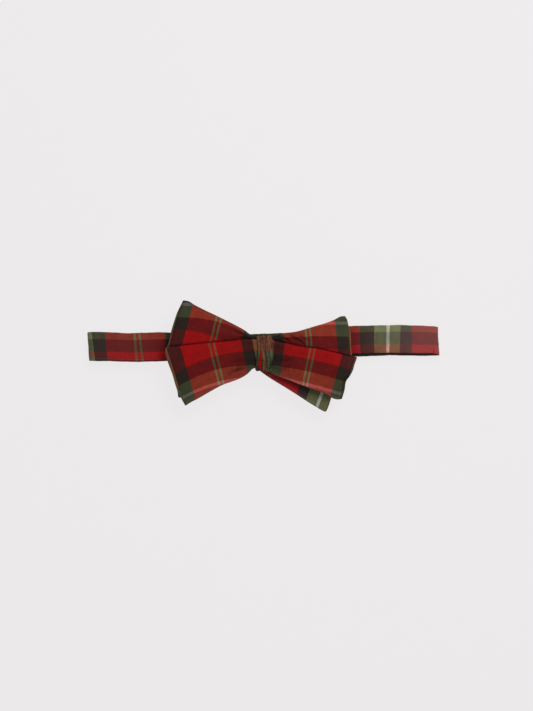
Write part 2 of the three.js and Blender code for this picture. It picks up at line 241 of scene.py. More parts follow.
def tartan_material(name, tint=None, crumple_shade=0.0, dust=0.0):
    """Yarn-dyed tartan. `tint` multiplies its colours, `crumple_shade` is how strongly painted shade and
    light of crumples darken and lighten it, and `dust` fades it all over."""
    graph = Graph(name, **TARTAN_FINISH)
    u, v = weave_coordinates(graph)
    over = interlace(graph, u, v, THREAD_PITCH)
    # Threads wander a little, so no stripe has a ruled edge
    drift = graph.span(graph.cloth_noise(u, v, DRIFT), -STRAYING, STRAYING)
    warp = yarn_ramp(graph, graph.plus(u, drift), YARN)
    weft = yarn_ramp(graph, graph.math("SUBTRACT", v, drift), WEFT_YARN)
    mixed = graph.mix(graph.plus(graph.times(over, TOP_THREAD), WEFT_SHARE), warp, weft)
    slub_warp = graph.cloth_noise(u, v, WARP_SLUBS)
    slub_weft = graph.cloth_noise(u, v, WEFT_SLUBS)
    tone = graph.times(graph.span(slub_warp, *WARP_SLUB_TONE), graph.span(slub_weft, *WEFT_SLUB_TONE))
    tone = graph.times(tone, graph.span(graph.cloth_noise(u, v, CLOUD), *CLOUD_TONE))
    # Painted shade: the cloth is made darker near the knot, standing in for the shade of its tilted gathers
    x = graph.node("ShaderNodeSeparateXYZ", {0: graph.place()}).outputs[0]
    tone = graph.times(tone, graph.span(graph.math("ABSOLUTE", x), *KNOT_PAINTED_SHADE))
    # Painted shade and light of crushed folds, darker and lighter in patches
    if crumple_shade:
        tone = graph.times(tone, graph.span(graph.cloth_noise(u, v, PAINTED_CRUMPLE), 1 - crumple_shade, 1 + crumple_shade))
    # Painted shade: darker where the crease attribute marks a fold, a wrinkle, the valley between the panels
    # or the knot's lower half
    tone = graph.times(tone, graph.span(graph.attribute("crease"), 1.0, PAINTED_FOLD_SHADE))
    channels = graph.node("ShaderNodeSeparateColor", {0: mixed}).outputs
    linear = [graph.math("POWER", channels[i], SCREEN_GAMMA / power) for i, power in enumerate(MIXING)]
    colour = graph.mix(1.0, graph.colour(*linear), graph.colour(tone, tone, tone), "MULTIPLY")
    if tint:
        colour = graph.mix(1.0, colour, (*tint, 1), "MULTIPLY")
    # Painted sheen: the band pales towards its right end, standing in for glare from the light on that side,
    # and a little towards its left end; rubbed edges lose a little dye
    end_paling = graph.plus(graph.span(x, *RIGHT_PAINTED_SHEEN), graph.span(x, *LEFT_END_PALING))
    rub = graph.times(graph.attribute("edge"), graph.span(slub_weft, 0.0, RUB))
    graph.shade(Base_Color=graph.mix(graph.plus(graph.plus(rub, dust), end_paling), colour, FADE_AND_SHEEN_COLOUR),
                Roughness=graph.span(slub_warp, *TARTAN_ROUGHNESS))
    graph.bump(0.30, 0.00008, graph.plus(graph.math("ABSOLUTE", over), graph.times(slub_warp, SLUB_HEIGHT)))
    return graph.material


def woven_material(name, dark, light, pitch, roughness, sheen):
    """Plain cloth of one yarn colour, for the lining."""
    graph = Graph(name, **{"Specular IOR Level": 0.3, "Sheen Weight": sheen, "Sheen Roughness": 0.4})
    u, v = weave_coordinates(graph)
    # A twill: each row of the weave is set off by one thread from the last
    rib = graph.math("SINE", graph.times(graph.plus(u, v), math.pi / pitch))
    slub = graph.cloth_noise(u, v, LINING_SLUBS)
    share = graph.plus(graph.span(rib, -0.1, 0.35), graph.span(slub, 0.0, 0.6), clamp=True)
    graph.shade(Base_Color=graph.mix(share, (*dark, 1), (*light, 1)),
                Roughness=graph.span(slub, roughness - 0.06, roughness + 0.08))
    graph.bump(0.25, 0.00006, graph.plus(rib, slub))
    return graph.material


def thread_material(name, dark, light):
    """Twisted sewing thread: fine ribs that run round it."""
    graph = Graph(name, **{"Specular IOR Level": 0.4, "Sheen Weight": 0.2, "Roughness": 0.55})
    place = graph.place()
    wave = {"Vector": place, "Scale": 900.0, "Distortion": 1.5, "Detail": 2.0}
    ribs = graph.node("ShaderNodeTexWave", wave, bands_direction="DIAGONAL").outputs["Fac"]
    fuzz = graph.noise(place, 4.0, 0.6, 2500.0)
    graph.shade(Base_Color=graph.mix(graph.times(ribs, fuzz), (*dark, 1), (*light, 1)))
    graph.bump(0.4, 0.00008, ribs)
    return graph.material


def nickel_material(name):
    """Satin nickel plate: brushed across the band, duller and darker where the strap has rubbed it."""
    graph = Graph(name, **{"Metallic": 1.0, "Anisotropic": 0.3})
    place = graph.place()
    stretched = graph.node("ShaderNodeMapping", {0: place, 3: (2600.0, 160.0, 2600.0)}).outputs[0]
    brushed = graph.noise(stretched, 3.0, 0.65)
    stain = graph.noise(place, 4.0, 0.6, 260.0)
    tone = graph.times(brushed, graph.span(stain, 0.4, 1.3), clamp=True)
    graph.shade(Base_Color=graph.mix(tone, (0.44, 0.43, 0.40, 1), (0.72, 0.71, 0.68, 1)),
                Roughness=graph.span(stain, 0.22, 0.42))
    graph.bump(0.12, 0.00004, brushed)
    return graph.material


tartan = tartan_material("tartan_cotton")
# The knot's copy adds painted shade and light of crumples
knot_tartan = tartan_material("tartan_cotton_knot", (1.12, 1.08, 1.28), 1.5)
blade_tartan = tartan_material("tartan_cotton_blade", (1.20, 1.05, 1.05), dust=0.011)
lining = woven_material("black_lining", (0.013, 0.011, 0.010), (0.034, 0.030, 0.027), 0.5, 0.62, 0.1)
thread = thread_material("thread", (0.02, 0.006, 0.005), (0.09, 0.03, 0.025))
nickel = nickel_material("nickel_steel")


# ---------------- meshes
def unit(vectors):
    length = np.linalg.norm(vectors, axis=-1, keepdims=True)
    return vectors / np.maximum(length, 1e-9)


def smooth(t):
    t = np.clip(t, 0, 1)
    return t * t * (3 - 2 * t)


def walked_along(route):
    """How far each point of a route is from its first."""
    return np.concatenate([[0], np.cumsum(np.linalg.norm(np.diff(route, axis=0), axis=1))])


class Piece:
    """Gathers closed shells of one object: points and weave coordinates in millimetres."""

    def __init__(self, name, *materials):
        self.name, self.materials = name, materials
        self.points, self.weave, self.edge, self.crease = [], [], [], []
        self.faces, self.finishes = [], []

    def add(self, points, weave, edge, faces, finish, crease=None):
        base = sum(len(p) for p in self.points)
        self.points.append(np.asarray(points, float))
        self.weave.append(np.asarray(weave, float))
        self.edge.append(np.asarray(edge, float))
        self.crease.append(np.zeros(len(points)) if crease is None else crease)
        self.faces += [tuple(base + i for i in face) for face in faces]
        self.finishes += list(finish)

    def make(self):
        points, weave = np.concatenate(self.points) * MM, np.concatenate(self.weave) * MM
        mesh = bpy.data.meshes.new(self.name)
        mesh.from_pydata(points.tolist(), [], self.faces)
        for material in self.materials:
            mesh.materials.append(material)
        mesh.polygons.foreach_set("material_index", self.finishes)
        mesh.shade_smooth()
        layer = mesh.uv_layers.new(name="weave")
        corners = np.zeros(len(mesh.loops), int)
        mesh.loops.foreach_get("vertex_index", corners)
        layer.data.foreach_set("uv", weave[corners].ravel())
        for attribute, values in (("edge", self.edge), ("crease", self.crease)):
            data = mesh.attributes.new(attribute, "FLOAT", "POINT").data
            data.foreach_set("value", np.concatenate(values))
        mesh.update()
        made = bpy.data.objects.new(self.name, mesh)
        bpy.context.scene.collection.objects.link(made)
        return made


RIM_OUT = 0.45  # how far the rim of a cloth stands out, by its thickness
RUBBED_ROWS = 2.0  # rows of points over which an edge is rubbed


def add_cloth(piece, middle, weave, thickness, ring=False, out=(0, 0, 1), crease=None):
    """A closed shell round a grid of points on the cloth's middle surface, with rounded rims. `ring` closes
    the grid's first direction on itself. `out` is the way the middle of the grid's first row should face.
    `crease` says how deep in a fold each point lies, from 0 to 1, which sets how dark its painted shade is."""
    rows, columns = middle.shape[:2]
    if ring:
        along = np.roll(middle, -1, 0) - np.roll(middle, 1, 0)
    else:
        along = np.gradient(middle, axis=0)
    side = np.gradient(middle, axis=1)
    normal = unit(np.cross(along, side))
    flip = np.dot(normal[0, columns // 2], out) < 0
    if flip:
        normal = -normal
    outer, inner = middle + normal * thickness / 2, middle - normal * thickness / 2
    side_count = rows * columns
    index = np.arange(side_count).reshape(rows, columns)
    points, coordinates = [outer.reshape(-1, 3), inner.reshape(-1, 3)], [weave.reshape(-1, 2)] * 2
    count = 2 * side_count
    row_place = np.minimum(np.arange(rows), np.arange(rows)[::-1])[:, None]
    column_place = np.minimum(np.arange(columns), np.arange(columns)[::-1])[None, :]
    nearest = np.broadcast_to(column_place, index.shape) if ring else np.minimum(row_place, column_place)
    edges = [np.clip(1 - nearest / RUBBED_ROWS, 0, 1).ravel()] * 2
    faces = []
    for i in range(rows if ring else rows - 1):
        k = (i + 1) % rows
        for j in range(columns - 1):
            quad = [index[i, j], index[k, j], index[k, j + 1], index[i, j + 1]]
            back = [q + side_count for q in quad[::-1]]
            faces += [quad[::-1], back[::-1]] if flip else [quad, back]

    def rim(places, outward, closed):
        """One extra line of points half-way through the cloth rounds its edge."""
        nonlocal count
        points.append(middle.reshape(-1, 3)[places] + unit(outward) * thickness * RIM_OUT)
        coordinates.append(weave.reshape(-1, 2)[places])
        edges.append(np.ones(len(places)))
        mid = np.arange(count, count + len(places))
        count += len(places)
        for a in range(len(places) if closed else len(places) - 1):
            b = (a + 1) % len(places)
            faces.append([places[a], places[b], mid[b], mid[a]])
            faces.append([mid[a], mid[b], places[b] + side_count, places[a] + side_count])

    rim(index[:, 0], -side[:, 0], ring)
    rim(index[:, -1], side[:, -1], ring)
    if not ring:
        rim(index[0], -along[0], False)
        rim(index[-1], along[-1], False)
    depth = np.zeros(count)
    if crease is not None:
        depth[:2 * side_count] = np.tile(np.clip(crease, 0, 1).ravel(), 2)
    piece.add(np.concatenate(points), np.concatenate(coordinates), np.concatenate(edges), faces,
              [0] * len(faces), depth)


HEM = 0.3  # how far the shell turns under the lining
HEM_CORNER = 0.75  # where the hem starts to slope, by its width
LINING_INSET = 0.3  # from the hem to where the lining lies flat again
GROOVE = 0.12
CROWN = 0.10  # how far a band's face falls towards its edges, by its half thickness
EDGE_ANGLES = (0.6, 1.2, 1.9, 2.5)  # round an edge from the face, in radians
EDGE_SQUASH = 0.9


def band_section(width, thickness, lined, bound):
    """Round the band: offset across it, height, and whether the next stretch is lining."""
    half, bulge = width / 2, thickness / 2
    top = np.linspace(half - bulge, bulge - half, 27)
    crown = 1 - CROWN * (np.abs(top) / half) ** 3
    section = [(c, bulge * k, int(abs(c) > half - bound)) for c, k in zip(top, crown)]
    edge = [(bulge * math.sin(a), bulge * math.cos(a) * EDGE_SQUASH) for a in EDGE_ANGLES]
    section += [(bulge - half - out, height, 0) for out, height in edge]
    if lined:
        hem = [(half - HEM, GROOVE - bulge), (half - HEM * HEM_CORNER, -bulge), (half - bulge, -bulge)]
        section += [(-c, height, int(height > -bulge)) for c, height in hem[::-1]]
        flat = half - HEM - LINING_INSET
        section += [(c, -bulge, 1) for c in np.linspace(-flat, flat, 11)]
        section += [(c, height, 0) for c, height in hem]
    else:
        section += [(c, -bulge, 0) for c in np.linspace(bulge - half, half - bulge, 15)]
    return section + [(half - bulge + out, height, 0) for out, height in edge[::-1]]


TURN = 2 * math.pi


def ripple(place, waves):
    """A sum of waves, each a (length, height, phase), with its mean at nought."""
    return sum(height * np.sin(TURN * place / length + phase) for length, height, phase in waves)


EDGE_WAVES = [(37.0, 0.10, 0.4), (13.0, 0.06, 2.1), (5.3, 0.03, 4.0)]
FACE_WAVES = [(29.0, 0.07, 1.0), (11.0, 0.05, 3.0)]
EDGES_APART = 20.0  # how far along the upper edge's waves are set off from the lower's
WAVE_SLANT = 1.3
RUBBED_EDGE = 0.5


def add_band(piece, route, up, across, width, thickness, warp, weft, lined=True, closed=False, wave=1.0,
             bound=0.0):
    """A band swept along a route. `warp` gives the warp coordinates of its upper and lower edge at each
    station, and `weft` turns the distance below the upper edge into a weft coordinate. `wave` is how strongly
    it ripples, and `bound` how far a lining laps over the edges of its face."""
    width = np.broadcast_to(np.asarray(width, float), (len(route),))
    walked = walked_along(route)
    rows, coordinates, edges = [], [], []
    for i, place in enumerate(route):
        section = band_section(width[i], thickness, lined, bound)
        half = width[i] / 2
        offsets, heights, _ = np.array(section).T
        shake = ripple(walked[i] + EDGES_APART * (offsets > 0), EDGE_WAVES) * (offsets / half) ** 2 * wave
        lift = ripple(walked[i] + WAVE_SLANT * offsets, FACE_WAVES) * (1 - (offsets / half) ** 2) * wave
        rows.append(place + np.outer(offsets + shake, across[i]) + np.outer(heights + lift, up[i]))
        turned = np.where(heights < -thickness * 0.2, 2.0, 0.0)  # the cloth that goes round to the back
        share = np.clip((half - offsets) / (2 * half), 0, 1)
        coordinates.append(np.stack([warp[i][0] * (1 - share) + warp[i][1] * share,
                                     weft(half - offsets) + turned], 1))
        edges.append(np.clip((np.abs(offsets) - half + RUBBED_EDGE) / RUBBED_EDGE, 0, 1))
    count, around = len(route), len(section)
    index = np.arange(count * around).reshape(count, around)
    faces, finish = [], []
    for i in range(count if closed else count - 1):
        k = (i + 1) % count
        for j in range(around):
            n = (j + 1) % around
            faces.append((index[i, j], index[i, n], index[k, n], index[k, j]))
            finish.append(section[j][2] if lined else 0)
    if not closed:
        faces += [tuple(index[0][::-1]), tuple(index[-1])]
        finish += [0, 0]
    first = faces[0]
    flat = np.concatenate(rows)
    facing = np.cross(flat[first[1]] - flat[first[0]], flat[first[3]] - flat[first[0]])
    if np.dot(facing, up[0]) < 0:
        faces = [face[::-1] for face in faces]
    piece.add(flat, np.concatenate(coordinates), np.concatenate(edges), faces, finish)


def sweep_frames(route, across):
    """Directions for a band along a route: square to it, and to the way across."""
    along = unit(np.gradient(route, axis=0))
    across = np.broadcast_to(np.asarray(across, float), route.shape)
    up = unit(np.cross(along, across))
    return up, unit(np.cross(up, along))


def curve(points, share):
    """A smooth line through points, at shares of its length."""
    points = np.array(points, float)
    walked = walked_along(points)
    walked /= walked[-1]
    slope = np.gradient(points, walked, axis=0)
    k = np.clip(np.searchsorted(walked, share, side="right") - 1, 0, len(points) - 2)
    span = walked[k + 1] - walked[k]
    t = ((share - walked[k]) / span)[:, None]
    span = span[:, None]
    return ((2 * t**3 - 3 * t**2 + 1) * points[k] + (t**3 - 2 * t**2 + t) * span * slope[k]
            + (3 * t**2 - 2 * t**3) * points[k + 1] + (t**3 - t**2) * span * slope[k + 1])


def eased(x, points):
    """Values between points, with no corner at them."""
    places, values = np.array(points, float).T
    k = np.clip(np.searchsorted(places, x, side="right") - 1, 0, len(points) - 2)
    t = smooth((x - places[k]) / (places[k + 1] - places[k]))
    return values[k] * (1 - t) + values[k + 1] * t


# ---------------- neck band
FRONT_Z = (FRONT_LOW[2] + FRONT_HIGH[2]) / 2 - 0.42  # middle of the three plies of the front of the band
BAND = 1.1  # thickness of the three plies
REAR_Z = 0.6  # middle of the rear strap
RAISED = 1.0  # how much higher it lies where the slide and the hook hold it
FOLD_RADIUS = (FRONT_Z - REAR_Z) / 2
FOLD_INSET = 0.70  # how far inside the CAD band's end the fold turns, by its radius
FOLD_STATIONS = 15
STEP = 1.4
STRAP_WIDTH = 17.8
BAND_JOIN_X = -9.0  # where the two halves of the band are sewn together under the bow
LEAN_REACH = 26.0  # how far from a fold the band leans with it


def folded_band(name, side, front, rear, heights, lean, warp, weft, width):
    """Front of the band, its fold and the rear strap in one piece. `side` is -1 on the left and 1 on the
    right. `front` and `rear` give the middle line's Y by X, `heights` the rear strap's level by X, `lean` the
    slant of the fold, `warp` the warp coordinate by X for both edges, and `width` the width by X. In `warp`
    and `width`, X goes on outwards past the fold, as if the band were laid out straight."""
    fold = (FRONT_HIGH[0] if side > 0 else FRONT_LOW[0]) - side * FOLD_RADIUS * FOLD_INSET
    start, end = BAND_JOIN_X, heights[-1][0]
    route = [(a, eased(a, front), FRONT_Z) for a in np.linspace(start, fold, int(abs(fold - start) / STEP))]
    y_front, y_rear = eased(fold, front), eased(fold, rear)
    for angle in np.linspace(0, math.pi, FOLD_STATIONS)[1:-1]:
        y = y_front + (y_rear - y_front) * angle / math.pi
        z = (FRONT_Z + REAR_Z) / 2 + FOLD_RADIUS * math.cos(angle)
        route.append((fold + side * FOLD_RADIUS * math.sin(angle), y, z))
    back = sorted({p[0] for p in heights} | set(np.linspace(fold, end, int(abs(end - fold) / STEP))),
                  reverse=side > 0)
    levels = [(-side * x, level) for x, level in heights]
    route += [(a, eased(a, rear), float(np.interp(-side * a, *zip(*levels)))) for a in back]
    route = np.array(route)
    up, across = sweep_frames(route, (0, 1, 0))
    if up[0][2] < 0:
        up, across = -up, across
    across = np.where(across[:, 1:2] < 0, -across, across)
    flat_x = start + side * walked_along(route)
    wide = np.interp(flat_x * side, [side * x for x, _ in width], [w for _, w in width])
    piece = Piece(name, tartan, lining)
    add_band(piece, route, up, across, wide, BAND, list(zip(*(extend(flat_x, edge) for edge in warp))), weft)
    # The fold isn't square to the band
    points = piece.points[0]
    near = smooth(1 - (side * (fold - points[:, 0]) / LEAN_REACH))
    points[:, 0] += lean * (points[:, 1] - y_front) * near
    return piece.make()


def extend(x, pairs):
    """Straight interpolation that keeps a slope of one beyond its ends."""
    places, values = np.array(sorted(pairs), float).T
    beyond = np.where(x < places[0], x - places[0], 0) + np.where(x > places[-1], x - places[-1], 0)
    return np.interp(x, places, values) + beyond


# Left: the front rises and falls a little; the rear strap keeps behind it, then meets the slide
left_front = [(-112, 6.35), (-100, 6.2), (-85, 5.65), (-62, 6.1), (-30, 5.4), (-8, 4.95), (4, 4.95)]
slide_x, slide_y = (SLIDE_LOW[0] + SLIDE_HIGH[0]) / 2, (SLIDE_LOW[1] + SLIDE_HIGH[1]) / 2
left_rear = [(-112, 6.2), (-85, 5.75), (-64, 5.9), (slide_x, slide_y), (HOOK_PIN[0], HOOK_PIN[1])]
left_heights = [(LONG_FOLD[0], REAR_Z), (-97, REAR_Z), (-84, REAR_Z + RAISED), (HOOK_PIN[0], REAR_Z + RAISED)]
left_warp = (
    [(-108.2, -7.9), (-99.9, 0), (-82.1, 16.5), (-77.5, 20.7), (-62.2, 37.2)],
    [(-106.8, -7.9), (-98.7, 0), (-81.1, 16.5), (-75.9, 20.7), (-61.5, 37.2)],
)
left_width = [(4, 17.6), (-8, 17.9), (-62, 18.3), (-100, 18.5), (-112, 18.1), (-160, 17.6), (-230, 17.8)]
# Painted shade: along the last millimetre of its lower edge the left band jumps to the black weft, as the
# shade of that edge
left_band = folded_band("left_neck_band", -1, left_front, left_rear, left_heights, -0.066, left_warp,
                        lambda d: np.where(d < 17.0, 56.5 + d, 40.0), left_width)
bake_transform(left_band)
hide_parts("front_band_shell", "front_band_interlining", "front_band_lining", "long_strap_shell",
            "long_strap_interlining", "long_strap_lining")

# Right: the band rises from the knot to past the wing's end
STRIP_WEFT = 56.9  # at the upper edge of a band: the olive stripe, and then the black one
right_front = [(-10, 5.7), (4, 5.95), (12, 6.2), (50, 10.3), (60, 10.65), (70, 10.95), (84, 11.1),
               (96, 10.85), (112, 10.5)]
right_rear = [(EYE_PIN[0], EYE_PIN[1]), (57, 8.75), (84, 9.25), (112, 9.15)]
right_heights = [(SHORT_FOLD[0], REAR_Z), (EYE_PIN[0], REAR_Z)]
right_warp = (
    [(-9, -31.4), (14, -23.9), (61.3, 37.2), (70.4, 45.1), (79.4, 53), (87.0, 60.9), (94.5, 68.8)],
    [(-9, -31.4), (14, -23.9), (61.3, 37.2), (70.4, 45.1), (78.9, 53), (86.6, 60.9), (94.1, 68.8)],
)
right_width = [(0, 17.0), (54, 17.4), (70, 17.6), (100, 17.5), (230, 17.5)]
right_band = folded_band("right_neck_band", 1, right_front, right_rear, right_heights, -0.055, right_warp,
                         lambda d: STRIP_WEFT + d * 0.985, right_width)
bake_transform(right_band)
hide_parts("short_strap_shell", "short_strap_interlining", "short_strap_lining")


# ---------------- hardware ends of the straps
def strap_frame(origin, axis):
    """Turns places along a strap, across it and above the floor into the frame's."""
    axis = np.asarray(axis, float)
    side = np.array([-axis[1], axis[0], 0.0])
    base = np.array([origin[0], origin[1], 0.0])
    ways = axis, side, np.array([0.0, 0.0, 1.0])
    return lambda *places: base + sum(np.multiply.outer(place, way) for place, way in zip(places, ways))


STRIP_WAVE = 0.5


def add_strip(piece, place, path, width, thickness, warp, lined=False, closed=False, facing=1, bound=0.0):
    """A short band whose route is drawn in the upright plane along a strap. `warp` is the coordinate it
    starts at, and `facing` turns its tartan side over."""
    path = np.asarray(path, float)
    route = place(path[:, 0], np.zeros(len(path)), path[:, 1])
    across = place(0.0, 1.0, 0.0) - place(0.0, 0.0, 0.0)
    if closed:
        along = unit(np.roll(route, -1, 0) - np.roll(route, 1, 0))
    else:
        along = unit(np.gradient(route, axis=0))
    across = np.broadcast_to(across, route.shape)
    up = unit(np.cross(along, across)) * facing
    add_band(piece, route, up, across, width, thickness, [(warp + w, warp + w) for w in walked_along(route)],
             lambda d: STRIP_WEFT + d, lined, closed, STRIP_WAVE, bound)


def arc(x, z, radius, start, end, steps):
    """Points round (x, z), with angles in degrees from straight up, turning towards +X."""
    angles = np.radians(np.linspace(start, end, steps))
    return [(x + radius * math.sin(a), z + radius * math.cos(a)) for a in angles]


RUN_PLY = 1.0
long_side = strap_frame(HOOK_PIN, LONG_AXIS)  # along is measured from the hook's pin
run_start = -(RUN_HIGH[0] - RUN_LOW[0])
run_z = (box("return_run_lining")[0][2] + RUN_HIGH[2]) / 2
raised_z = REAR_Z + RAISED
turn_radius = (run_z - raised_z) / 2
turn_z = (run_z + raised_z) / 2

run = Piece("return_run", tartan, lining)
path = [(a, run_z) for a in np.linspace(0.2, run_start + 0.4, 34)]
add_strip(run, long_side, path, STRAP_WIDTH, RUN_PLY, 20.0, lined=True, facing=-1)
return_run = run.make()
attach(return_run, "hook_run")
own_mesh(return_run)
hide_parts("return_run_shell", "return_run_interlining", "return_run_lining")

# The strap's turn round the hook's pin, with enough of the lower run to stay over the strap at full travel
LOWER_LEG = 23.0
LEG_PLY = 0.3
turn = Piece("hook_turn", tartan, lining)
path = [(0.0, run_z)] + arc(0.3, turn_z, turn_radius, 0, 180, 13)
path += [(a, raised_z + 0.02) for a in np.linspace(-0.6, -3.0, 4)]
add_strip(turn, long_side, path, STRAP_WIDTH, RUN_PLY, 12.0, lined=True)
leg = [(a, raised_z + 0.72) for a in np.linspace(-0.6, -LOWER_LEG, 18)]
add_strip(turn, long_side, leg, STRAP_WIDTH - 0.5, LEG_PLY, 3.0, facing=-1)
hook_turn = turn.make()
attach(hook_turn, "hook_run")
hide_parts("hook_turn_fold")

# The strap's end is sewn round the slide's centre bar
WRAP_PLY = 0.5
wrap_middle = (WRAP_LOW + WRAP_HIGH) / 2
wrap_side = strap_frame(wrap_middle, LONG_AXIS)
wrap_half = (WRAP_HIGH[2] - WRAP_LOW[2]) / 2 - 0.28
wrap = Piece("slide_wrap", tartan)
path = arc(0, wrap_middle[2], wrap_half, 0, 360, 25)[:-1]
add_strip(wrap, wrap_side, path, STRAP_WIDTH, WRAP_PLY, 30.0, closed=True)
slide_wrap = wrap.make()
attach(slide_wrap, "slide")
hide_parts("slide_end_wrap")

# The short strap's end turns up round the eye's pin and is sewn down on the strap
SHORT_AXIS = unit(EYE_PIN * [1, 1, 0] - SHORT_FOLD * [1, 1, 0])
eye_side = strap_frame(EYE_PIN, SHORT_AXIS)
TURNED_WIDTH = 15.8
FLAP_LENGTH = 13.0
FLAP_Z = 2.1
FLAP_BOUND = 2.4
eye_radius = EYE_PIN[2] - REAR_Z
wrap = Piece("eye_wrap", tartan, lining)
path = [(-0.2, REAR_Z)] + arc(0.0, EYE_PIN[2], eye_radius, 180, 0, 13)
path += [(-4.0, FLAP_Z + 0.05)] + [(a, FLAP_Z) for a in np.linspace(-5.0, -FLAP_LENGTH, 8)]
add_strip(wrap, eye_side, path, TURNED_WIDTH, RUN_PLY, 9.0, lined=True, facing=-1, bound=FLAP_BOUND)
eye_wrap = wrap.make()
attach(eye_wrap, "short_strap")
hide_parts("eye_end_wrap")


# ---------------- bow
def patch(low, high, start, end, s, t):
    """Plan of a panel from its four edges: low and high run from the knot to the wing's end, start and end
    from the low edge to the high one. s and t are grids of shares along and across."""
    low_line, high_line = (curve(line, s.ravel()).reshape(*s.shape, 2) for line in (low, high))
    start_line, end_line = (curve(line, t.ravel()).reshape(*s.shape, 2) for line in (start, end))
    s, t = s[..., None], t[..., None]
    a, b, c, d = (np.asarray(p, float) for p in (low[0], low[-1], high[0], high[-1]))
    return ((1 - t) * low_line + t * high_line + (1 - s) * start_line + s * end_line
            - (1 - s) * (1 - t) * a - s * (1 - t) * b - (1 - s) * t * c - s * t * d)


FIT_SCALE = 50.0  # about the length of a wing


def fitted(marks):
    """A smooth function of X and Y through marks, each an (x, y, value)."""
    def terms(x, y):
        x, y = x / FIT_SCALE, y / FIT_SCALE
        return np.stack([np.ones_like(x), x, y, x * y, x * x], -1)

    x, y, value = np.array(marks, float).T
    weights = np.linalg.lstsq(terms(x, y), value, rcond=None)[0]
    return lambda plan: terms(plan[..., 0], plan[..., 1]) @ weights


class Panel:
    """One visible panel of a wing: its outline in plan and how the tartan lies on it. `warp` is counted from
    the bow's middle, `weft` as in the sett."""

    def __init__(self, low, high, start, end, warp, weft):
        self.edges = low, high, start, end
        self.warp, self.weft = fitted(warp), fitted(weft)

    def plan(self, s, t):
        return patch(*self.edges, s, t)


LOOP_MIDDLE = (LOOP_LOW[2] + LOOP_HIGH[2]) / 2
PLY = 0.55
PLY_STEP = 0.68  # from one layer of the pleat to the next
BLACK_WARP = 8.4  # from the bow's middle to just inside its first black warp stripe
OLIVE_WARP = 60.9  # and to the olive one that the end of a wing rolls over to
HIDDEN = 10.0  # depth of the pleat behind the lower panel
FRONT_STATIONS, ARC_STATIONS, BACK_STATIONS = 58, 13, 26
PANEL_ROWS, CROWDING = 30, 1.35  # rows of a panel, and how much they crowd towards the crease
TUCK_ROWS = (0.0, 0.15, 0.4, 0.7, 0.93)
ROLL = 2.4  # most that the end of a wing rolls over, in plan
ROLL_SPARE = 0.3
CORNER_REACH = 14.0  # how far from the wing's end its back's lower corner is turned


def wing(piece, lower, upper, back_turn, phases, back_weft, back_shade):
    """A wing of the bow's loop: front, rolled end and back. A pleat is tucked in behind the lower panel, and
    the two panels meet in a narrow valley along it. `back_turn` moves the back's lower corner, `phases` set
    off the waves of both panels, `back_weft` gives the weft of the back by the front's, and `back_shade` says
    how much painted shade darkens the back, each for the lower panel and the upper one."""
    dense = np.linspace(0, 1, PANEL_ROWS)
    lines = [("lower", t) for t in 1 - (1 - dense) ** CROWDING]
    lines += [("down", t) for t in TUCK_ROWS] + [("up", t) for t in TUCK_ROWS[::-1]]
    lines += [("upper", t) for t in dense ** CROWDING]
    grid, weave, creases = [], [], []
    for kind, t in lines:
        row = Row(kind, t, lower, upper, phases)
        length = walked_along(row.plan(np.linspace(0, 1, 60)))[-1]
        end_front, end_back = row.levels(np.array([1.0]))
        depth = min(ROLL, (end_front[0] - end_back[0]) / 2 + ROLL_SPARE)
        s_flat = np.linspace(0, 1, FRONT_STATIONS) * (1 - depth / length)
        front, back = row.levels(s_flat)
        angle = np.linspace(0, math.pi, ARC_STATIONS)[1:-1]
        s_arc = 1 - depth * (1 - np.sin(angle)) / length
        s_back = np.linspace(1 - depth / length, 0, BACK_STATIONS)
        s = np.concatenate([s_flat, s_arc, s_back])
        z_arc = (front[-1] + back[-1]) / 2 + (front[-1] - back[-1]) / 2 * np.cos(angle)
        z = np.concatenate([front, z_arc, np.interp(s_back, s_flat, back)])
        # The lower corner of the back lies a little turned against the front's
        share = np.concatenate([np.zeros(len(s_flat)), smooth(angle / math.pi * 2 - 1), np.ones(len(s_back))])
        reach = np.exp(-((1 - s) * length / CORNER_REACH) ** 2)
        corner = (1 - row.share) ** 5 if row.kind == "lower" else 0.0
        plan = row.plan(s) + (share * reach * corner)[:, None] * np.array(back_turn)
        walked = np.concatenate([depth * angle, depth * math.pi + (1 - depth / length - s_back) * length])
        u, v = row.sett(s_flat)
        panel = 0 if row.kind in ("lower", "down") else 1
        u_back = u[-1] + walked
        v_back = np.where(u_back > OLIVE_WARP, back_weft[panel](v[-1]), v[-1])
        u, v = np.concatenate([u, u_back]), np.concatenate([v, v_back])
        grid.append(np.column_stack([plan, z]))
        weave.append(np.column_stack([u + OLIVE_MIDDLE, v]))
        # Painted shade in the wrinkles and the valley between the panels, and over the back
        painted_shade = row.painted_shade(s_flat)
        creases.append(np.concatenate([painted_shade, np.full(len(walked), back_shade[panel])]))
    add_cloth(piece, np.array(grid), np.array(weave), PLY, crease=np.array(creases))


def line_at(panel, t, s):
    return panel.plan(s[None, :], np.full((1, len(s)), t))[0]


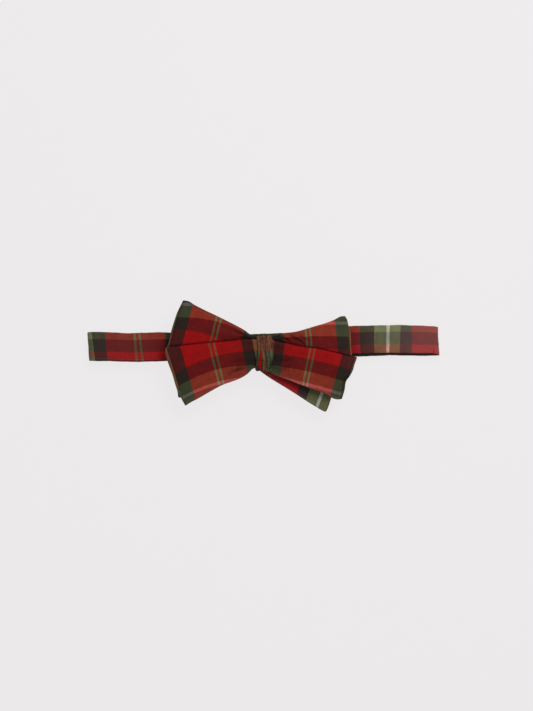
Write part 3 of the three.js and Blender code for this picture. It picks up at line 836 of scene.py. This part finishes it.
# Wrinkles pressed into the front: from, to, depth and half width
WRINKLES = [((12.2, 12.6), (16.8, 9.2), 1.0, 0.65), ((17.0, 13.6), (21.0, 9.6), 0.9, 0.6),
            ((20.0, 12.2), (26.2, 7.0), 0.9, 0.65), ((22.5, 13.4), (28.0, 10.2), 0.45, 0.7),
            ((8.5, 11.9), (15.0, 10.9), 0.5, 0.5), ((8.0, 10.6), (12.0, 10.2), 0.5, 0.5),
            ((9.5, -9.0), (17.0, -6.0), 0.45, 0.9), ((8.5, -3.5), (19.0, -1.5), 0.4, 1.1),
            ((-9.5, 12.9), (-18.5, 16.0), 0.6, 0.9), ((-8.5, 12.2), (-15.5, 12.2), 0.6, 0.7),
            ((-10.5, -6.8), (-19.5, -9.8), 0.7, 0.8), ((-9.0, -2.5), (-20.0, -3.4), 0.4, 1.2),
            ((-15.0, -5.5), (-17.5, -9.5), 0.6, 0.6), ((-19.0, -9.0), (-22.5, -12.5), 0.5, 0.6)]
WRINKLE_FULL = 0.85  # the depth at which a wrinkle's painted shade is as dark as it gets


def wrinkled(plan):
    """Depth of the wrinkles at places in plan, in millimetres."""
    depth = np.zeros(len(plan))
    for start, end, deep, wide in WRINKLES:
        start, way = np.array(start), np.array(end) - np.array(start)
        share = np.clip((plan - start) @ way / (way @ way), 0, 1)
        away = np.linalg.norm(plan - start - share[:, None] * way, axis=1)
        fade = np.sin(math.pi * (0.12 + 0.76 * share))  # shallow at its two ends
        depth += deep * np.exp(-(away / wide) ** 2) * fade
    return depth


# How far the front stands above the loop's middle and the back lies below it, by share of the way to its end
LIFT = [(0.0, 0.35), (0.08, 0.55), (0.2, 0.95), (0.45, 1.5), (0.8, 1.5), (1.0, 1.35)]
SINK = [(0.0, 1.0), (0.2, 1.3), (1.0, 1.35)]
LAYER = {"lower": 2.0, "down": 1.0, "up": 0.0, "upper": 2.0}  # level of each kind of row, in PLY_STEP
ROLLED = 1.7  # how far from the valley the panels start to roll into it
VALLEY, VALLEY_REACH, VALLEY_SHADE = 1.5, 0.55, 0.6  # its depth, how wide its painted shade reaches, and how dark that shade is
PUFF = 0.8  # how far the middle of a panel bulges
GATHER_FADE = 5.5  # how fast the gathers die away from the knot
GATHERS = {"lower": (0.46, 3.4), "upper": (0.50, 2.6)}  # height of the gathers, and how many
SOFT_WAVES = {"lower": (0.22, 1.7, 0.8), "upper": (0.30, 1.3, -0.9)}  # height, waves along and across
CREASE_DROP = 0.75  # how far the cloth drops as it turns in under the lower panel
UPPER_SET_OFF = 0.3  # the upper panel starts this far above the crease
TUCK_GAP = 0.2  # and the layer that leads to it this far
LOWEST_BLACK = -7.4  # weft that still lies in the black stripe of the upper panel
BLACK_REACH = 11  # how far from the knot's middle that stripe is all that shows of it


class Row:
    """One line of the loop's grid: it runs from the knot to the wing's end."""

    def __init__(self, kind, share, lower, upper, phases):
        self.kind, self.share = kind, share
        self.lower, self.upper, self.phases = lower, upper, phases

    def plan(self, s):
        """Places in plan at shares s of the row."""
        if self.kind == "lower":
            return line_at(self.lower, self.share, s)
        if self.kind == "upper":
            return line_at(self.upper, self.share, s) + np.array([0.0, UPPER_SET_OFF]) * (1 - self.share)
        crease = line_at(self.lower, 1.0, s)
        gap = 0.0 if self.kind == "down" else TUCK_GAP
        tucked = crease - np.array([0.0, HIDDEN])
        plan = crease * (1 - self.share) + tucked * self.share + np.array([0.0, gap])
        drawn_in = 0.02 * min(1, 4 * self.share) + 0.09 * self.share
        plan[:, 0] = KNOT_MIDDLE[0] + (plan[:, 0] - KNOT_MIDDLE[0]) * (1 - drawn_in)
        return plan

    def levels(self, s):
        """Heights of the front and the back of the loop along the row."""
        place = self.share
        level = LAYER[self.kind] * PLY_STEP
        puff = gathers = soft = 0.0
        if self.kind in GATHERS:
            gather_phase, soft_phase = self.phases[:2] if self.kind == "lower" else self.phases[2:]
            level = level * smooth((place - 0.05) / 0.8 if self.kind == "lower" else (1.05 - place) / 0.9)
            middle = np.sin(math.pi * np.clip(s * 1.04, 0, 1)) ** 0.7
            rolled = (1 - np.clip(self.from_crease(s) / ROLLED, 0, 1)) ** 2.2 * VALLEY
            puff = PUFF * math.sin(math.pi * place) ** 0.8 * middle - rolled
            height, count = GATHERS[self.kind]
            fade = np.exp(-s * GATHER_FADE) * smooth(s / 0.06)
            gathers = height * np.sin(TURN * count * place + gather_phase) * fade
            height, along, across = SOFT_WAVES[self.kind]
            soft = height * np.sin(TURN * (along * s + across * place) + soft_phase) * middle
            soft -= wrinkled(self.plan(s))
        front = LOOP_MIDDLE + eased(s, LIFT) + level + puff + gathers + soft
        if self.kind == "down":
            front = front - CREASE_DROP * max(0.0, 1 - 5 * place)
        back = LOOP_MIDDLE - eased(s, SINK) - level * 0.5 - 0.25 * puff
        return front, np.maximum(back, LOOP_LOW[2] + PLY / 2 + 0.02)

    def from_crease(self, s):
        """How far the row lies from the crease between the panels, in Y."""
        return np.abs(self.plan(s) - line_at(self.lower, 1.0, s))[:, 1]

    def painted_shade(self, s):
        """How far a place lies in a wrinkle or in the valley, from 0 to 1, which sets how dark its painted
        shade is.
        """
        if self.kind not in GATHERS:
            return np.ones(len(s))
        valley = VALLEY_SHADE * np.exp(-(self.from_crease(s) / VALLEY_REACH) ** 2)
        return wrinkled(self.plan(s)) / WRINKLE_FULL + valley

    def sett(self, s):
        """Warp and weft coordinates along the front of the row."""
        if self.kind == "lower":
            flat = line_at(self.lower, self.share, s)
            return self.lower.warp(flat), self.lower.weft(flat)
        if self.kind == "upper":
            flat = line_at(self.upper, self.share, s)
            near = smooth((BLACK_REACH - np.abs(flat[:, 0] - KNOT_MIDDLE[0])) / 2)
            weft = self.upper.weft(flat)
            weft = np.where(weft < 0, weft * (1 - near) + np.maximum(weft, LOWEST_BLACK) * near, weft)
            return np.maximum(self.upper.warp(flat), BLACK_WARP * near), weft
        crease = line_at(self.lower, 1.0, s)
        low, high = self.lower.weft(crease), self.upper.weft(crease)
        tucked = self.share / 2 if self.kind == "down" else 1 - self.share / 2
        return self.lower.warp(crease), low * (1 - tucked) + high * tucked


left_crease = [(0.5, 10.8), (-4.8, 11), (-12.4, 11), (-20, 10), (-29.9, 9.1), (-35.1, 8.6), (-49.8, 7.1),
               (-56, 6.5), (-60.4, 5.9)]
left_lower = Panel(
    low=[(0.5, -6.0), (-3, -6.6), (-6.2, -7.1), (-7.9, -8.7), (-9.8, -10.7), (-12.4, -12.4), (-15, -13.8),
         (-20, -15.7), (-24.9, -17.4), (-29.9, -19.9), (-35, -22.8), (-42, -26.8), (-45, -28.3),
         (-48.8, -30.7)],
    high=left_crease,
    start=[(0.5, -6.0), (0.5, 2.5), (0.5, 10.8)],
    end=[(-48.8, -30.7), (-51.0, -26.6), (-53.4, -22.2), (-55, -17.6), (-57, -10.6), (-58.7, -6.2),
         (-60, -2.6), (-61.3, 1.6), (-61.3, 4.2), (-60.4, 5.9)],
    warp=[(-47.7, -6.9, 53), (-45.5, -15.2, 53), (-51.9, 6.2, 53), (-42.8, -25.5, 53), (-12.4, 3.1, 15.8),
          (-10.5, -5.6, 15.8), (-13.7, 9.6, 15.8), (-33.7, 7.9, 35.8), (-27.5, -17, 35.8), (-31.1, 8.1, 33),
          (-24.9, -15.6, 33), (-6.5, 9, 7.9), (-5.5, 1, 7.9), (-59.8, 3, 60.9), (-55.4, -11, 60.9),
          (-52.2, -22, 60.9)],
    weft=[(-47.7, -6.9, 37.2), (-12.4, 3.1, 37.2), (-45.5, -15.2, 45.1), (-10.5, -5.6, 45.1),
          (-44.3, -21.8, 53), (-29, -17, 53), (-49.8, 7.1, 24.5), (-13.7, 9.6, 31.3)])
left_upper = Panel(
    low=left_crease[:-1] + [(-60.1, 6.0)],
    high=[(0.5, 12.0), (-4.5, 12.6), (-7.5, 13.3), (-9.3, 14.3), (-11, 15.7), (-15, 18.1), (-20, 20.7),
          (-29.9, 25.6), (-39.9, 30.4), (-43.6, 32.4), (-46.8, 34.4), (-50.2, 35.0)],
    start=[(0.5, 10.8), (0.5, 12.0)],
    end=[(-60.1, 6.0), (-59.6, 7.2), (-58.6, 11), (-57.6, 15.4), (-56, 20.9), (-55, 24), (-54.1, 26.8),
         (-52.9, 29.4), (-51.3, 32.7), (-50.2, 35.0)],
    warp=[(-46, 25.3, 53), (-48, 16.6, 53), (-44.8, 32, 53), (-49.8, 7.1, 53), (-11.8, 15, 15.8),
          (-13.7, 9.6, 15.8), (-28.7, 24.5, 35.8), (-32.5, 10.5, 35.8), (-26.4, 22.8, 33), (-29, 12.9, 33),
          (-53.9, 24, 60.9), (-56.7, 15, 60.9), (-52, 29.5, 60.9), (-59, 8, 60.9)],
    weft=[(-46, 25.3, -7.9), (-11.8, 15, -7.9), (-48, 16.6, 0), (-30.4, 12, 0), (-44.8, 32, -15.8),
          (-49.8, 7.1, 8.6), (-13.7, 9.6, -4.3), (-31, 9.2, 2.5)])
right_crease = [(3.0, 10.8), (5.2, 10.5), (13.6, 8.8), (22, 6.8), (27.6, 5.8), (34.1, 5.1), (40.7, 3.7),
                (47.2, 2.3), (52, 1.0), (55.6, 0), (58.7, -0.7)]
right_lower = Panel(
    low=[(3.0, -7.4), (5.7, -10.5), (10.1, -12.6), (17.3, -15), (23.9, -17.8), (28.5, -19.4), (34.6, -21.5),
         (40.7, -23.9), (43.6, -26.0), (46.6, -26.8), (49.2, -26.6)],
    high=right_crease,
    start=[(3.0, -7.4), (3.0, 2), (3.0, 10.8)],
    end=[(49.2, -26.6), (50.3, -23.3), (51.1, -20.1), (51.4, -17.2), (52.2, -14.8), (53.7, -13),
         (55.1, -10.7), (56.3, -8.2), (57.1, -5.1), (58.1, -2.5), (58.7, -0.7)],
    warp=[(12.7, 1.4, 15.8), (11.4, -6.4, 15.8), (13.6, 8.6, 15.8), (10.3, -10.7, 15.8), (47.7, -6.1, 53),
          (45.3, -14.4, 53), (49.5, 1.4, 53), (43.2, -24.3, 53), (29.2, 4.9, 33), (24.8, -17.5, 33),
          (32, 4.7, 35.8), (27.4, -18, 35.8), (6.6, 5, 7.9), (5.6, -3.5, 7.9), (57, -3, 60.9),
          (54.7, -10.7, 60.9), (50.8, -18, 60.9), (49.5, -25, 60.9)],
    weft=[(12.7, 1.4, 37.2), (47.7, -6.1, 37.2), (11.4, -6.4, 45.1), (45.3, -14.4, 45.1), (20.1, -15.4, 53),
          (28.5, -18, 53), (43.7, -21.5, 53), (13.6, 8.6, 30), (49.5, 1.4, 30)])
right_upper = Panel(
    low=right_crease[:-1],
    high=[(3.0, 12.1), (7, 12.8), (11.7, 14.2), (20.1, 15.3), (22.9, 15.9), (27.6, 17.3), (33.7, 19.1),
          (40, 21), (44.9, 22.9), (48.8, 24.9), (51.2, 25.2)],
    start=[(3.0, 10.8), (3.0, 12.1)],
    end=[(55.6, 0), (55.4, 1.9), (54.9, 6.1), (54.9, 9.3), (54.7, 13.5), (54, 17.3), (53.2, 20),
         (52.4, 23.3), (51.2, 25.2)],
    warp=[(13.4, 11.9, 15.8), (13.6, 8.6, 15.8), (46.1, 13.1, 53), (45.7, 20.6, 53), (47.1, 2.3, 53),
          (26, 16.1, 33), (27.1, 7, 33), (28.8, 16.6, 35.8), (29.9, 7, 35.8), (53.2, 18, 60.9),
          (54.3, 9, 60.9), (54.7, 2, 60.9), (6.6, 9, 7.9)],
    weft=[(13.4, 11.9, -7.9), (46.1, 13.1, -7.9), (45.7, 20.6, -15.8), (13, 19.5, -15.8), (13.6, 8.8, -4.8),
          (47.1, 2.3, 1.5), (28, 12.5, -7.9)])

loop = Piece("bow_loop", tartan)
wing(loop, left_lower, left_upper, (-4.4, 5.0), (0.3, 1.0, 2.2, 0.5),
     (lambda v: v if v < 37.2 else v - 8.0, lambda v: v), (0.0, 0.35))
wing(loop, right_lower, right_upper, (0.8, 1.5), (1.3, 2.4, 0.2, 1.9),
     (lambda v: v, lambda v: v + 14.0), (0.6, 0.0))
bow_loop = loop.make()
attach(bow_loop, "bow")
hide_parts("front_bow_loop", "bow_loop_interfacing")

# The blade behind the loop: a flat pressed bag. Its right half is the tail that shows below the wing
blade_z = (BLADE_LOW[2] + BLADE_HIGH[2]) / 2
BLADE_PLY = 1.1
BLADE_STATIONS, BLADE_ROWS = 56, 34
BLADE_WAVE = 0.12
TAIL_TURN = (0.94, -0.342)  # the way along the tail


def blade(piece, low, high, start, end, warp_marks, weft_of):
    """Half of the blade. `warp_marks` give the warp by the distance along the tail's way, and `weft_of` the
    weft by the distances across and along it."""
    s, t = np.meshgrid(np.linspace(0, 1, BLADE_STATIONS), np.linspace(0, 1, BLADE_ROWS))
    plan = patch(low, high, start, end, s, t)
    along = plan @ np.array(TAIL_TURN)
    across = plan @ np.array([-TAIL_TURN[1], TAIL_TURN[0]])
    u = extend(along.ravel(), warp_marks).reshape(along.shape)
    v = weft_of(across, along)
    z = blade_z + BLADE_WAVE * np.sin(TURN * (s * 1.6 + t)) * np.sin(math.pi * s)
    add_cloth(piece, np.dstack([plan, z]), np.dstack([u, v]), BLADE_PLY)


def tail_weft(across, along):
    """Red weft along the tail's lower edge and black above it, the black standing in partly for painted
    shadow of the wing above; past the red warp stripe it is all black.
    """
    above = (across + 9.2) * 0.99 + (along - 13) * 0.14
    near_end = smooth((along - 28) / 3)
    return (37.2 + above) * (1 - near_end) + (38.2 + np.clip(0.25 * (above + 6), 0, 6.5)) * near_end


tail = Piece("rear_blade", blade_tartan)
blade(tail,
      low=[(-3.4, -7.6), (0, -10.2), (5, -13.6), (9.9, -16.6), (15, -19.7), (22, -24.1), (29.9, -29.2),
           (33.7, -31.5), (37.6, -33.8), (39.3, -34.5)],
      high=[(-3.4, 9.2), (7, 10), (30, 10.5), (50.5, 4)],
      start=[(-3.4, -7.6), (-3.4, 1), (-3.4, 9.2)],
      end=[(39.3, -34.5), (40.5, -31.9), (41.5, -29.0), (42.4, -26), (45, -17), (48.5, -5), (50.5, 4)],
      warp_marks=[(10.4, 22.6), (27.8, 37.2), (34.6, 45.1), (42.6, 53.0), (48.8, 59.2)],
      weft_of=tail_weft)
blade(tail,
      low=[(-3.2, -6), (-20, -13), (-40, -22), (-51, -25.3), (-53.2, -25.6)],
      high=[(-3.2, 9.2), (-20, 13), (-46, 26), (-50, 28)],
      start=[(-3.2, -6), (-3.2, 1), (-3.2, 9.2)],
      end=[(-53.2, -25.6), (-53.6, -22), (-54.4, -15), (-57, 0), (-50, 28)],
      warp_marks=[(-60, 81), (-41, 63), (-3, 25)],
      weft_of=lambda across, along: 100 + across)
rear_blade = tail.make()
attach(rear_blade, "bow")
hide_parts("rear_bow_blade", "rear_blade_interfacing")


# ---------------- knot
KNOT_PLY = 0.7
RING_STATIONS = 136
FOLD_DEPTH = 0.55
KNOT_CREST = 0.15  # cloth above this lies in the open
KNOT_RELIEF = 0.75  # and this far below it, in the dark
SHADE_TOP, SHADE_FALL = 4.0, 8.0  # Y where the knot starts to turn away from the light, and over how far
RING_POWER = 2 / 6.0  # the ring round the waist is nearly a box, a superellipse of power 6
BACK_WEFT_Y = 14.0  # all of a pleat's back is as its front is at this Y
ring_middle = np.array([KNOT_MIDDLE[1] + 0.35, KNOT_MIDDLE[2]])
ring_half = np.array([(KNOT_HIGH[1] - KNOT_LOW[1]) / 2 - 0.35, (KNOT_HIGH[2] - KNOT_LOW[2]) / 2 - 0.45])


def fold_line(points):
    """X of a fold down the front of the knot by Y, from its bottom to its top."""
    y, x = zip(*sorted((p[1], p[0]) for p in points))
    return lambda at: np.interp(at, y, x)


knot_left = fold_line([(-4.0, 13), (-3.6, 10.5), (-3.2, 8), (-3.1, 3), (-3.6, -1), (-4.1, -4), (-4.8, -8)])
wedge_left = fold_line([(-2.4, 13), (-2.0, 8), (-1.9, 3.1), (-2.6, 0.5), (-3.0, -2), (-3.5, -8.5)])
wedge_right = fold_line([(-1.9, 13), (-1.9, 8), (-1.8, 3.1), (-1.1, 0.5), (-0.7, -2), (-0.2, -8.5)])
brown_edge = fold_line([(2.6, 13), (1.2, 10), (0.7, 7), (1.2, 3), (1.8, 0), (1.5, -4), (1.2, -8.5)])
knot_right = fold_line([(3.4, 13), (5.0, 12.2), (5.7, 10.8), (6.4, 9), (6.4, 1), (6.1, -1.5), (5.2, -4),
                        (4.6, -6.5), (4.0, -9)])
# The waves that crush a pleat: how many to a fold, how fast they drift by Y, phase and height
CRUSH = [(1.0, 0.08, 0.9, 0.22), (2.0, -0.20, 2.6, 0.17), (3.0, 0.26, 4.4, 0.12), (0.5, 0.55, 5.2, 0.13)]


def knot_pleat(piece, left, right, columns, depth, warp, weft, folds, back, shade=0.0):
    """A ring of cloth round the waist, between two fold lines, `depth` inside the outermost one and crushed
    as CRUSH says, `folds` times across. `warp` holds its warp at both lines and `weft` gives its weft by Y.
    Its back lies between the two X of `back`, and `shade` paints shade on its lower half, which turns away
    from the light."""
    angle = np.linspace(0, TURN, RING_STATIONS, endpoint=False)
    bow_y, bow_z = np.cos(angle), np.sin(angle)
    y = ring_middle[0] + (ring_half[0] - depth) * np.sign(bow_y) * np.abs(bow_y) ** RING_POWER
    z = ring_middle[1] + (ring_half[1] - depth) * np.sign(bow_z) * np.abs(bow_z) ** RING_POWER
    front = smooth((bow_z + 0.5) / 0.9)
    share = np.linspace(0, 1, columns)
    x_left = left(y) * front + back[0] * (1 - front)
    x_right = right(y) * front + back[1] * (1 - front)
    x = x_left[:, None] * (1 - share) + x_right[:, None] * share
    round_off = (1 - np.abs(2 * share - 1) ** 3)[None, :]
    down = y[:, None]
    crushed = sum(height * np.sin(TURN * (folds * count * share + drift * down) + phase + folds)
                  for count, drift, phase, height in CRUSH)
    bump = FOLD_DEPTH * (round_off - 1) + crushed * round_off
    outward = unit(np.column_stack([np.gradient(z), -np.gradient(y)]))
    outward *= np.sign(outward[0] @ np.array([bow_y[0], bow_z[0]]))
    grid = np.dstack([x, down + bump * outward[:, :1], z[:, None] + bump * outward[:, 1:]])
    u = warp[0] + (warp[1] - warp[0]) * np.broadcast_to(share, x.shape)
    v = np.broadcast_to(weft(np.where(front > 0.2, y, BACK_WEFT_Y))[:, None], x.shape)
    out = grid[0, columns // 2] * [0, 1, 1] - np.array([0, *ring_middle])
    # Painted shade: the deeper the cloth lies in the crush, the darker it is painted, and the lower half
    # darker still
    painted_shade = (KNOT_CREST - bump) / KNOT_RELIEF + shade * smooth((SHADE_TOP - y) / SHADE_FALL)[:, None]
    add_cloth(piece, grid, np.dstack([u, v]), KNOT_PLY, ring=True, out=out, crease=painted_shade)


def down_the_knot(y):
    """Weft of the olive pleats by Y: red at the top, then black, then olive. The black reaches further down
    than the sett's width, as painted shade on the knot's lower half.
    """
    return np.interp(-y, [-14, -4, 8.5, 11], [26.0, 37.2, 45.1, 48.0])


knot = Piece("knot", knot_tartan)
knot_pleat(knot, knot_left, wedge_left, 15, 0.25, (55.0, 58.5), down_the_knot, 1.0, (-3.1, -1.6), 0.8)
knot_pleat(knot, lambda y: wedge_left(y) - 0.4, lambda y: wedge_right(y) + 0.4, 13, 0.9, (3.0, 6.0),
           lambda y: 5 + 0.5 * y, 1.0, (-2.2, 0.0))
knot_pleat(knot, wedge_right, lambda y: brown_edge(y) + 0.3, 17, 0.2, (55.2, 59.0),
           lambda y: 30 - 0.4 * y, 1.5, (-1.4, 2.4), 0.3)
knot_pleat(knot, brown_edge, knot_right, 25, 0.0, (54.6, 59.9), down_the_knot, 2.2, (2.2, 6.5), 0.35)
bow_knot = knot.make()
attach(bow_knot, "bow")
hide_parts("knot_wrap")


# ---------------- threads under the knot
THREAD_SIDES = 8
TACK_RADIUS = 0.13
TACK_CORNER = 0.5
TACK_Y = (-3.75, 13.95)  # inside of its turns, at both ends of the bundle
TACK_LOW, TACK_HIGH = box("band_tack_stitches")


def thread_ring(piece, x, low, high, radius, corner):
    """One turn of thread round a flat bundle: low and high are its Y and Z on the inside."""
    (y0, z0), (y1, z1) = low, high
    path = []
    for cy, cz, first in ((y1 - corner, z1 - corner, 0), (y0 + corner, z1 - corner, 90),
                          (y0 + corner, z0 + corner, 180), (y1 - corner, z0 + corner, 270)):
        for degrees in np.linspace(first, first + 90, 5):
            a = math.radians(degrees)
            path.append((cy + (corner + radius) * math.cos(a), cz + (corner + radius) * math.sin(a)))
    path = np.array(path)
    outward = unit(path - (path.max(0) + path.min(0)) / 2)
    around = np.linspace(0, TURN, THREAD_SIDES, endpoint=False)
    points = [(x + radius * math.cos(b), *(p + o * radius * math.sin(b)))
              for p, o in zip(path, outward) for b in around]
    index = np.arange(len(points)).reshape(len(path), THREAD_SIDES)
    faces = []
    for row, following in zip(index, np.roll(index, -1, 0)):
        for j, n in enumerate(np.roll(np.arange(THREAD_SIDES), -1)):
            faces.append((row[j], following[j], following[n], row[n]))
    piece.add(points, np.zeros((len(points), 2)), np.zeros(len(points)), faces, [0] * len(faces))


tack = Piece("band_tack", thread)
low, high = (TACK_Y[0], TACK_LOW[2] + 2 * TACK_RADIUS), (TACK_Y[1], TACK_HIGH[2] - 2 * TACK_RADIUS)
for x in np.linspace(TACK_LOW[0] + TACK_RADIUS, TACK_HIGH[0] - TACK_RADIUS, 4):
    thread_ring(tack, x, low, high, TACK_RADIUS, TACK_CORNER)
band_tack = tack.make()
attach(band_tack, "bow")
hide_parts("band_tack_stitches")

# ---------------- CAD nodes that stay, with their finishes
finishes = {thread: ["gathering_thread", "knot_seam_stitches", "slide_end_bartack", "eye_end_bartack"],
            nickel: ["adjuster_slide", "neck_hook", "neck_eye"]}
for material, names in finishes.items():
    for name in names:
        for material_slot in frame["nodes"][name].material_slots:
            material_slot.material = material

# ---------------- floor, light and camera
FLOOR_HALF = 1.6
FLOOR_Z = -0.0002
corners = [(x * FLOOR_HALF, y * FLOOR_HALF, FLOOR_Z) for x, y in ((-1, -1), (1, -1), (1, 1), (-1, 1))]
floor_mesh = bpy.data.meshes.new("floor")
floor_mesh.from_pydata(corners, [], [(0, 1, 2, 3)])
floor = bpy.data.objects.new("floor", floor_mesh)
bpy.context.scene.collection.objects.link(floor)
paper = Graph("floor", **{"Roughness": 0.9, "Specular IOR Level": 0.0, "Emission Strength": 0.80,
                          "Emission Color": (0.98, 0.96, 0.97, 1)})
grain = paper.noise(paper.place(), 3.0, 0.5, 60.0)
paper.shade(Base_Color=paper.mix(grain, (0.058, 0.057, 0.058, 1), (0.064, 0.063, 0.064, 1)))
floor_mesh.materials.append(paper.material)

world = bpy.data.worlds.new("studio")
world.use_nodes = True
background = world.node_tree.nodes["Background"]
background.inputs["Color"].default_value = (1, 1, 1, 1)
background.inputs["Strength"].default_value = 0.45
bpy.context.scene.world = world


def softbox(name, place, size, power):
    """A square light that faces the middle of the tie."""
    light = bpy.data.lights.new(name, "AREA")
    light.size, light.energy = size, power
    lamp = bpy.data.objects.new(name, light)
    lamp.location = place
    lamp.rotation_mode = "QUATERNION"
    lamp.rotation_quaternion = (-Vector(place)).to_track_quat("-Z", "Y")
    bpy.context.scene.collection.objects.link(lamp)


softbox("key_light", (0.28, 0.42, 0.55), 0.35, 3.5)
softbox("fill_light", (-0.5, -0.3, 1.2), 1.0, 1.6)

CAMERA_PLACE = (0.00208, 0.00057, 1.010)
camera_data = bpy.data.cameras.new("camera")
camera_data.sensor_width = 36.0
camera_data.lens = 80.4
camera = bpy.data.objects.new("camera", camera_data)
camera.location = CAMERA_PLACE
bpy.context.scene.collection.objects.link(camera)
bpy.context.scene.camera = camera
bpy.context.scene.view_settings.view_transform = "Standard"
